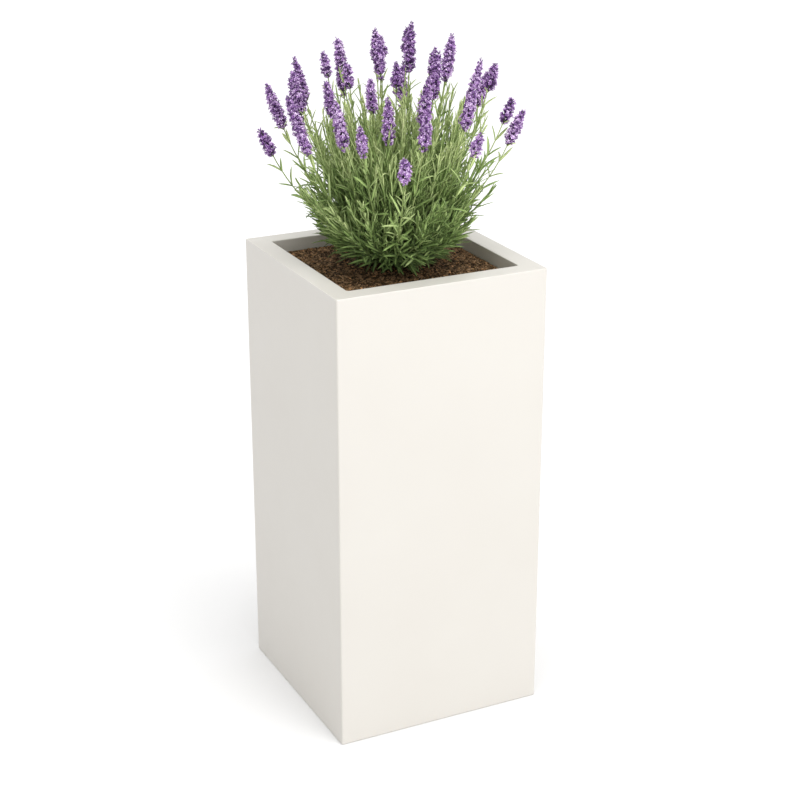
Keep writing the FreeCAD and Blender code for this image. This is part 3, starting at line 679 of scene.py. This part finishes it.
def blades(bases, ways, backs, lengths, widths, bends):
    """Points of many leaves at once. ways are their directions, backs the sides that their upper faces look to."""
    count = len(bases)
    ways = unit(ways)
    sides = unit(np.cross(ways, backs))
    normals = np.cross(sides, ways)
    points = np.zeros((count, 17, 3))
    for station, (share, swell) in enumerate([*LEAF_STATIONS, (1.0, 0.0)]):
        angle = bends * share
        safe = np.where(np.abs(bends) < 1e-4, 1e-4, bends)
        along = np.sin(angle) / safe * lengths
        drop = (1 - np.cos(angle)) / safe * lengths
        centre = bases + ways * along[:, None] - normals * drop[:, None]
        up = normals * np.cos(angle)[:, None] + ways * np.sin(angle)[:, None]
        half = (widths * swell / 2)[:, None]
        if station == 4:
            points[:, 16] = centre
            continue
        fold = up * half * LEAF_FOLD
        points[:, station * 4] = centre - sides * half
        points[:, station * 4 + 1] = centre - fold - up * LEAF_THICKNESS
        points[:, station * 4 + 2] = centre + sides * half
        points[:, station * 4 + 3] = centre - fold
    return points


print("a leaf has", len(LEAF_FACES), "faces and", len(LEAF_RIBS), "points")

# %% [markdown]
# ## Leaves along a shoot
# Low down the pairs stand wide open, and towards the tip they close up and grow small. Every leaf gets its own
# length, width, opening and droop. Its tint rises along the shoot and up the plant, which is painted shade: the
# leaves deep in the bush and near the soil are painted darker, and the ones at the tips pale. A share of the
# tint is chance, per shoot and per leaf.

# %% Leaves along a shoot


def leaf_set(shoots, first, spacing, longest, open_low, open_high, width, droop):
    """Pairs of leaves along each shoot, wide open low down and nearly closed at the tip."""
    rows = []
    for start, bend, end in shoots:
        length = np.linalg.norm(bend - start) + np.linalg.norm(end - bend)
        pairs = max(int(length * (1 - first) / spacing), 3)
        shares = np.linspace(first, 0.985, pairs)
        places = curve(start, bend, end, shares)
        aheads = unit(curve(start, bend, end, np.minimum(shares + 0.02, 1.02)) - places)
        twist = rng.uniform(0, math.pi)
        tone = rng.uniform(0, 1)
        for place, ahead, share in zip(places, aheads, shares):
            side = unit(np.cross(ahead, (0.17, 0.31, 0.93)))
            other = np.cross(ahead, side)
            twist += math.pi / 2 + rng.normal(0, 0.25)
            up_shoot = (share - first) / (1 - first)
            for half_turn in (0, math.pi):
                away = side * math.cos(twist + half_turn) + other * math.sin(twist + half_turn)
                opening = math.radians(open_low + (open_high - open_low) * up_shoot) * rng.uniform(0.75, 1.25)
                way = ahead * math.cos(opening) + away * math.sin(opening)
                back = ahead * math.sin(opening) - away * math.cos(opening)
                fullness = 0.62 + 0.38 * math.sin(math.pi * min(up_shoot * 0.85 + 0.12, 1))
                size = longest * fullness * rng.uniform(0.72, 1.1)
                if up_shoot > 0.9:
                    size *= 0.68
                # painted shade: leaves low on the shoot and near the soil get a darker tint, as the bush shades them
                height = (place[2] - SOIL_LEVEL) / 0.25
                tint = 0.3 * up_shoot + 0.3 * min(height, 1) + 0.25 * tone + 0.15 * rng.uniform()
                rows.append((*place, *way, *back, size, width * rng.uniform(0.8, 1.15), rng.normal(droop, 0.4), tint))
    return np.array(rows)


def leaf_parts(rows):
    """The rows of a leaf set as parts to build."""
    points = blades(rows[:, 0:3], rows[:, 3:6], rows[:, 6:9], rows[:, 9], rows[:, 10], rows[:, 11])
    return [(leaf, LEAF_FACES, tint) for leaf, tint in zip(points, rows[:, 12])]


def leaves_on(name, rows, **replaced):
    """One piece of leaves in the sage finish."""
    return build_piece(name, leaf_parts(rows), sage, "leaves", ribs=LEAF_RIBS, **replaced)


print("leaves come in pairs, a quarter turn apart")

# %% [markdown]
# ## Leaf finish
# A lavender leaf is felted, so it has almost no gloss and a dusty bloom. The midrib is paler than the blade,
# and the `rib` numbers on the points say where it runs. The stems share the recipe with yellower greens.

# %% Leaf finish


def leaf_finish(name, dark, mid, pale, rough_low=0.55, rough_high=0.75):
    """A felted leaf: painted shade makes it darker low on the plant and paler at the tips, with a fine uneven bloom."""
    material, tree, shader = new_finish(name, Specular_IOR_Level=0.2, Sheen_Weight=0.04, Sheen_Roughness=0.5)
    place = object_place(tree)
    tint = add_node(tree, "ShaderNodeAttribute", attribute_name="tint").outputs["Fac"]
    bloom = noise_tex(tree, place, 260, 3.0, 0.6)
    patch = noise_tex(tree, place, 22, 2.0)
    blend = calc(tree, "ADD", calc(tree, "MULTIPLY", tint, 0.62), calc(tree, "MULTIPLY", patch, 0.38))
    # painted shade: a low tint, deep and low in the bush, picks the dark green
    green = ramp(tree, blend, (0.15, dark), (0.5, mid), (0.85, pale))
    rib = add_node(tree, "ShaderNodeAttribute", attribute_name="rib").outputs["Fac"]
    ribbed = ramp(tree, rib, (0.35, (0.9, 0.92, 0.88)), (0.85, (1.45, 1.35, 1.5)))
    dusty = ramp(tree, bloom, (0.3, (0.86, 0.88, 0.84)), (0.75, (1.1, 1.1, 1.06)))
    marked = mix(tree, 1.0, green, ribbed, "MULTIPLY")
    set_input(tree, shader, "Base Color", mix(tree, 1.0, marked, dusty, "MULTIPLY"))
    set_input(tree, shader, "Roughness", scaled(tree, bloom, rough_low, rough_high))
    bump(tree, shader, bloom, 0.3, 0.0003)
    return material


sage = leaf_finish("leaves", (0.030, 0.066, 0.012), (0.230, 0.338, 0.105), (0.66, 0.75, 0.37))
stalk_skin = leaf_finish("stalk_green", (0.12, 0.165, 0.055), (0.27, 0.345, 0.125), (0.46, 0.53, 0.235))
print("leaf finishes", 2)

# %% [markdown]
# ## Leaves on the mound
# The bush has three belts. The skirt's leaves are broad and stand wide open, a little curled up, over the soil.
# The body's leaves make the flanks, and the crest's are narrow and nearly upright.

# %% Leaves on the mound
skirt_rows = leaf_set(skirt, 0.16, 0.0095, 0.038, open_low=62, open_high=30, width=0.0052, droop=-0.15)
body_rows = leaf_set(body, 0.2, 0.0110, 0.044, open_low=44, open_high=18, width=0.0046, droop=0.15)
crest_rows = leaf_set(crest, 0.3, 0.0110, 0.042, open_low=30, open_high=12, width=0.0040, droop=0.08)
leaves_on("skirt_leaves", skirt_rows)
leaves_on("body_leaves", body_rows, replaces=["foliage"])
leaves_on("crest_leaves", crest_rows, replaces=["leafy_shoots"])

# %% [markdown]
# ## Stems of the mound
# Every leaf needs a stem to stand on, or it would hang in the air when the bush is seen from close by. A stem
# is a thin tube along its shoot that tapers to the tip.

# %% Stems of the mound


def stems(shoots, thick, thin, sides=5):
    """A tapering stem along each shoot."""
    shares = np.linspace(0, 1, 9)
    radii = thick + (thin - thick) * shares
    return [tube(curve(*shoot, shares), radii, sides, rng.uniform(0.2, 1)) for shoot in shoots]


build_piece("leafy_stems", stems(skirt + body + crest, thick=0.0015, thin=0.0007), stalk_skin, "stalk_green")

# %% [markdown]
# ## Old wood
# At the soil the plant is woody: a low knot from which a few crooked branches fork. Only bits of it show
# between the leaves, so the branches are tubes with a wandering path, knobbly radii and a bark finish.

# %% Woody crown
bark, tree, shader = new_finish("bark", Specular_IOR_Level=0.2)
place = object_place(tree)
drawn = add_node(tree, "ShaderNodeMapping", {"Vector": place, "Scale": (1.0, 1.0, 0.25)}).outputs["Vector"]
fissure = noise_tex(tree, drawn, 240, 6.0, 0.65, noise_type="RIDGED_MULTIFRACTAL", normalize=True)
set_input(tree, shader, "Base Color", ramp(tree, fissure, (0.3, (0.23, 0.17, 0.11)), (0.75, (0.07, 0.045, 0.03))))
set_input(tree, shader, "Roughness", scaled(tree, fissure, 0.8, 0.95))
bump(tree, shader, fissure, 0.9, 0.0012)


def branch(bearing, lean, length, thick):
    """A crooked branch that starts in the knot."""
    shares = np.linspace(0, 1, 9)
    out = np.array((math.cos(bearing), math.sin(bearing), 0))
    path = np.array([(0, 0, SOIL_LEVEL - 0.004)] * 9) + np.outer(shares, out * math.sin(lean) * length)
    path[:, 2] += shares * math.cos(lean) * length
    path[1:] += rng.normal(0, 0.0016, (8, 3))
    radii = (thick * (1 - 0.62 * shares)) * rng.uniform(0.85, 1.18, 9)
    return tube(path, radii, 8)


BRANCH_TURN = 2.39996
woods = [branch(BRANCH_TURN * index, 0.35 + 0.09 * (index % 5), length=0.062, thick=0.0056) for index in range(13)]
knot_shares = np.linspace(0, 1, 7)
knot_path = np.outer(knot_shares, (0.001, -0.001, 0.026)) + (0, 0, SOIL_LEVEL - 0.004)
woods.append(tube(knot_path, (0.021, 0.019, 0.0175, 0.015, 0.0135, 0.010, 0.004), 12))
build_piece("old_wood", woods, bark, "bark", replaces=["woody_crown"])

# %% [markdown]
# ## Where the flowers stand
# The CAD spikes say where the flowers stand: every spike is one loose island of the mesh, and the long way of
# its points is its axis. So the flowers here stay where the model has them.

# %% Read the spikes


def islands(mesh):
    """Groups of points that faces join, with points at one place taken as one."""
    places = np.array([v.co for v in mesh.vertices])
    _, same = np.unique(np.round(places, 6), axis=0, return_inverse=True)
    same = same.ravel()
    parent = np.arange(same.max() + 1)

    def root(item):
        while parent[item] != item:
            parent[item] = parent[parent[item]]
            item = parent[item]
        return item

    for edge in mesh.edges:
        first, second = root(same[edge.vertices[0]]), root(same[edge.vertices[1]])
        parent[max(first, second)] = min(first, second)
    roots = np.array([root(item) for item in same])
    return [places[roots == label] for label in np.unique(roots)]


def spike_axis(points):
    """Foot and tip of one spike, from the long way of its points."""
    middle = points.mean(0)
    way = np.linalg.svd(points - middle, full_matrices=False)[2][0]
    way *= np.sign(way[2])
    reach = (points - middle) @ way
    return middle + way * reach.min(), middle + way * reach.max()


spikes = [spike_axis(points) for points in islands(nodes["flower_spikes"].data)]
spikes.sort(key=lambda pair: -pair[1][2])
print("spikes", len(spikes), "tallest", round(spikes[0][1][2] - SOIL_LEVEL, 3), "over the soil")

# %% [markdown]
# ## Flower stalks
# Each flower stands on a thin stalk that bows out of the mound, from the crown to the foot of its spike, and
# arrives in the direction of the spike.

# %% Stalks
COLLAR_REACH = 0.012
STALK_BEND = 0.45


def stalk_curve(foot, tip):
    """The bow from the crown to a spike's foot."""
    way = unit(tip - foot)
    out = unit(foot * (1, 1, 0))
    crown = out * COLLAR_REACH + np.array((0, 0, SOIL_LEVEL + 0.014))
    bend = foot - way * STALK_BEND * np.linalg.norm(foot - crown)
    return crown, bend, foot


stalk_curves = [stalk_curve(foot, tip) for foot, tip in spikes]
stalk_shares = np.linspace(0, 1, 17)
stalk_radii = np.linspace(0.0016, 0.0009, 17)
stalks = [tube(curve(*bow, stalk_shares), stalk_radii, 6, rng.uniform(0.4, 1)) for bow in stalk_curves]
build_piece("flower_stalks_round", stalks, stalk_skin, "stalk_green", replaces=["flower_stalks"])

# %% [markdown]
# ## Leaves on the stalks
# The stalks carry a few long leaves, far apart and drooping. None grows above a certain height, because a
# lavender stalk is bare under its flower.

# %% Leaves on the stalks
BARE_FROM = SOIL_LEVEL + 0.30
stalk_rows = leaf_set(stalk_curves, 0.26, 0.026, 0.043, open_low=50, open_high=20, width=0.0050, droop=0.55)
leaves_on("stalk_leaves", stalk_rows[stalk_rows[:, 2] < BARE_FROM])

# %% [markdown]
# ## Young shoots
# Between the bush and the flowers there is a thicket of thin upright shoots that haven't flowered. They carry
# a few leaves held close to the stem, and they hide most of the light behind the stalks.

# %% Young shoots
young = grow_shoots(190, low=38, high=90, shortest=0.98, longest=1.27, turn=2.2)
build_piece("young_stems", stems(young, thick=0.0013, thin=0.0006), stalk_skin, "stalk_green")
young_rows = leaf_set(young, 0.45, 0.0105, 0.036, open_low=20, open_high=7, width=0.0029, droop=0.05)
leaves_on("young_leaves", young_rows)

# %% [markdown]
# ## Flowers
# One flower is a violet cup, the calyx, with a paler corolla of five lobes at its mouth. It is a few
# millimetres long, so a five-sided cup and five thin kites are enough. Both are written once at unit size, and
# copied several thousand times.

# %% Cup and petals
CUP_SIDES = 5


def cup_form():
    """A calyx along +Z: narrow at its foot, swollen, and open at its mouth."""
    rings = ((0.0, 0.3), (0.5, 1.0), (1.0, 0.8))
    turns = np.arange(CUP_SIDES) * 2 * math.pi / CUP_SIDES
    points = [(math.cos(t) * r, math.sin(t) * r, z) for z, r in rings for t in turns]
    faces = []
    for ring in range(len(rings) - 1):
        for corner in range(CUP_SIDES):
            low, high = ring * CUP_SIDES + corner, ring * CUP_SIDES + (corner + 1) % CUP_SIDES
            faces.append((low, high, high + CUP_SIDES, low + CUP_SIDES))
    faces.append(tuple(range(CUP_SIDES))[::-1])
    faces.append(tuple(range((len(rings) - 1) * CUP_SIDES, len(rings) * CUP_SIDES)))
    return np.array(points), faces


def petal_form():
    """Five lobes that open from the mouth. Each is a thin closed kite, cupped along its middle."""
    points, faces = [], []
    for lobe in range(5):
        turn = 2 * math.pi * lobe / 5
        reach = 1.0 if lobe in (0, 1) else 0.8
        rot = np.array([(math.cos(turn), math.sin(turn), 0), (-math.sin(turn), math.cos(turn), 0), (0, 0, 1)])
        kite = np.array([(0.12, 0, 0), (0.6, -0.36, 0.42), (0.6, 0.36, 0.42), (1.1, 0, 0.42), (0.6, 0, 0.16)])
        kite = kite * (reach, reach, 1) @ rot
        start = len(points)
        points += list(kite)
        base, near, far, end, under = range(start, start + 5)
        faces += [(base, near, end), (base, end, far), (base, under, near), (near, under, end)]
        faces += [(end, under, far), (far, under, base)]
    return np.array(points), faces


def turned(form, ways, spins, scales, places):
    """Copies of a form, each with its +Z along a way, spun about it, scaled and moved."""
    side = unit(np.cross(ways, (0.21, 0.47, 0.86)))
    other = np.cross(ways, side)
    cos, sin = np.cos(spins)[:, None], np.sin(spins)[:, None]
    across = side * cos + other * sin
    third = other * cos - side * sin
    axes = np.stack([across, third, ways], 1)
    return np.einsum("vk,nkj->nvj", form, axes * scales[:, :, None]) + places[:, None, :]


cup, cup_faces = cup_form()
petals, petal_faces = petal_form()
print("a flower has", len(cup_faces) + len(petal_faces), "faces")

# %% [markdown]
# ## Flower places
# A spike is a stack of whorls. In each whorl eight to fifteen flowers stand round the stalk, leaning out low
# down and drawn upright towards the tip, where most are still closed buds. On some spikes the second whorl is
# missing, so the lowest one stands apart, as it often does on lavender.

# %% Flower places
WHORL_STEP = 0.0046


def spike_width(share):
    """The outline of a spike: full low down, drawn in to the tip."""
    return np.interp(share, (0, 0.06, 0.2, 0.5, 0.75, 0.92, 1), (0.66, 0.9, 1.0, 0.98, 0.88, 0.7, 0.5))


def flower_places():
    """Place, direction, size and openness of every flower on every spike."""
    rows = []
    for foot, tip in spikes:
        way = unit(tip - foot)
        length = np.linalg.norm(tip - foot)
        side = unit(np.cross(way, (0.2, 0.5, 0.84)))
        other = np.cross(way, side)
        plump = rng.uniform(0.88, 1.08)
        tone = rng.uniform(0, 1)
        whorls = int(length / WHORL_STEP)
        gap_at = 1 if rng.uniform() < 0.4 else -1
        for whorl in range(whorls + 1):
            share = whorl / whorls
            if whorl == gap_at and whorls > 8:
                continue
            width = spike_width(share) * plump
            count = 15 if share < 0.75 else 12 if share < 0.93 else 8
            lean = math.radians(64 - 34 * share)
            for flower in range(count):
                turn = 2 * math.pi * (flower + 0.5 * (whorl % 2)) / count + rng.normal(0, 0.16)
                away = side * math.cos(turn) + other * math.sin(turn)
                tilt = lean * rng.uniform(0.78, 1.15)
                ahead = way * math.cos(tilt) + away * math.sin(tilt)
                place = foot + way * (length * 0.95 * share + rng.normal(0, 0.0011)) + away * 0.0011 * width
                openness = float(rng.uniform() < 0.86 - 0.62 * max(share - 0.55, 0) / 0.45)
                tint = 0.5 * rng.uniform() + 0.3 * tone + 0.2 * share
                rows.append((*place, *ahead, width * rng.uniform(0.68, 1.2), openness, tint))
    return np.array(rows)


flowers = flower_places()
print("flowers", len(flowers), "open", int(flowers[:, 7].sum()))

# %% [markdown]
# ## Flower finishes
# The corolla is a pale violet, and the cup a dusky one that shows as the dark between the petals. Each flower
# has its own tint, and a fine fleck breaks it up, so that no two look the same.

# %% Flower finishes


def petal_finish(name, dark, mid, pale, spots, sheen):
    """A velvety petal or cup in three tones."""
    material, tree, shader = new_finish(name, Specular_IOR_Level=0.25, Sheen_Weight=sheen, Sheen_Roughness=0.4)
    place = object_place(tree)
    tint = add_node(tree, "ShaderNodeAttribute", attribute_name="tint").outputs["Fac"]
    fleck = noise_tex(tree, place, spots, 3.0, 0.6)
    blend = calc(tree, "ADD", calc(tree, "MULTIPLY", tint, 0.55), calc(tree, "MULTIPLY", fleck, 0.45))
    set_input(tree, shader, "Base Color", ramp(tree, blend, (0.22, dark), (0.5, mid), (0.78, pale)))
    set_input(tree, shader, "Roughness", scaled(tree, fleck, 0.55, 0.8))
    bump(tree, shader, fleck, 0.3, 0.0003)
    return material


violet = petal_finish("lavender_violet", (0.21, 0.085, 0.31), (0.47, 0.28, 0.57), (0.86, 0.70, 0.92), 420, 0.06)
dusk = petal_finish("calyx_violet", (0.050, 0.018, 0.085), (0.14, 0.060, 0.21), (0.30, 0.17, 0.41), 500, 0.04)
print("flower finishes", 2)

# %% [markdown]
# ## Place the flowers
# All cups are turned, sized and moved at once, then all corollas at the mouths of the cups that are open. Every
# lobe gets a tint of its own, which gives the spike its fine sparkle of light and dark.

# %% Place the flowers
CUP_LENGTH = 0.0088
CUP_RADIUS = 0.0013
PETAL_REACH = 0.0033
ways = unit(flowers[:, 3:6])
widths = flowers[:, 6]
spins = rng.uniform(0, 2 * math.pi, len(flowers))
cup_scales = np.stack([widths * CUP_RADIUS, widths * CUP_RADIUS, widths * CUP_LENGTH], 1)
cups = turned(cup, ways, spins, cup_scales, flowers[:, 0:3])
mouths = flowers[:, 0:3] + ways * (widths * CUP_LENGTH)[:, None]
opened = flowers[:, 7] > 0.5
petal_scales = np.stack([widths * PETAL_REACH] * 3, 1) * rng.uniform(0.85, 1.15, (len(flowers), 1))
corollas = turned(petals, ways, spins, petal_scales, mouths)
build_piece("flower_cups", [(c, cup_faces, t) for c, t in zip(cups, flowers[:, 8])], dusk, "lavender_violet")
lobe_tints = np.repeat(np.clip(flowers[:, 8, None] + rng.normal(0, 0.28, (len(flowers), 5)), 0, 1), 5, axis=1)
open_ones = [(c, petal_faces, t) for c, t, is_open in zip(corollas, lobe_tints, opened) if is_open]
build_piece("flower_petals", open_ones, violet, "lavender_violet", smooth=False, replaces=["flower_spikes"])

# %% [markdown]
# ## Spike cores
# The stalk goes on through the flowers to the tip. It closes the small gaps through which a spike would look
# hollow.

# %% Spike cores
cores = []
for foot, tip in spikes:
    shares = np.linspace(-0.02, 0.97, 6)[:, None]
    cores.append(tube(foot + (tip - foot) * shares, np.linspace(0.0013, 0.0007, 6), 6, 0.3))
build_piece("spike_cores", cores, stalk_skin, "stalk_green")
